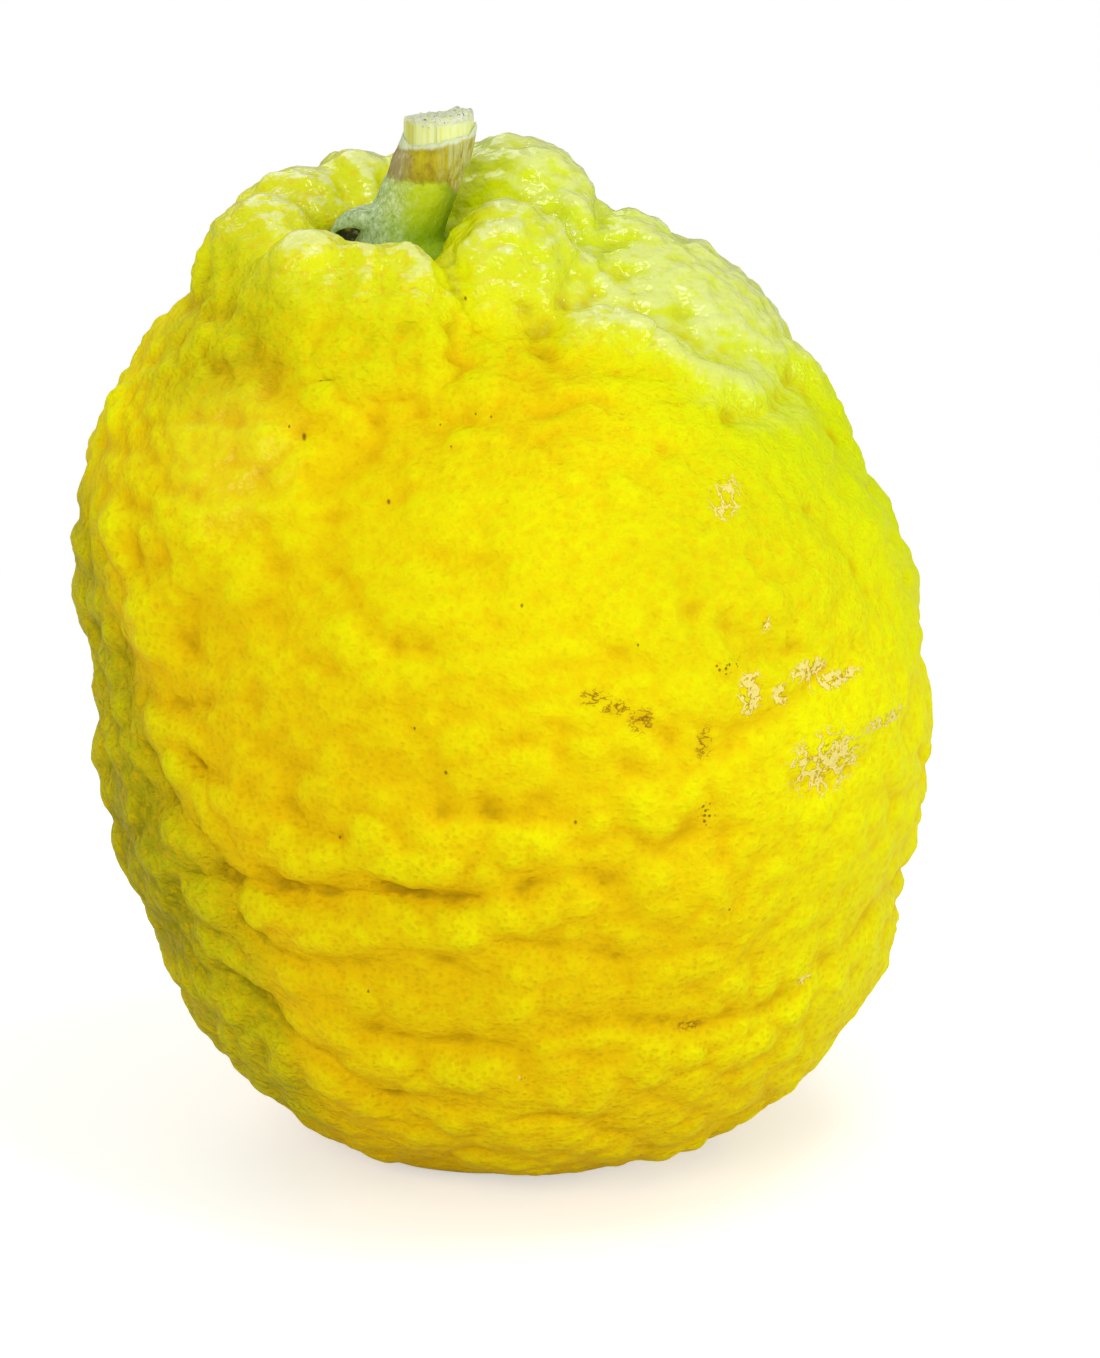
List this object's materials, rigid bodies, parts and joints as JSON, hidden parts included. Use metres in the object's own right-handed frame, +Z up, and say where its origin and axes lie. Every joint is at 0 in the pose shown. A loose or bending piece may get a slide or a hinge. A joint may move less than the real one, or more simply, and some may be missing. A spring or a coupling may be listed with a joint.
{
  "type": "ponderosa lemon",
  "caption": "Large knobbly yellow citrus fruit standing on its blunt end, with a collar of lobes round a short cut stem.",
  "frame": {"origin": "middle of the box round the fruit, on the surface it rests on", "axes": "+Z up along the fruit towards the stem, -Y towards the viewer, +X to the viewer's right, the high shoulder"},
  "size_m": [0.1044, 0.0996, 0.1284],
  "materials": {
    "rind": "waxy, pimpled citrus rind, satin",
    "calyx": "velvety green skin, matte",
    "stem": "fibrous bark and fresh-cut wood, matte"
  },
  "bodies": {
    "root": {"fruit": "rind", "calyx": "calyx", "stem": "stem"}
  },
  "joints": []
}
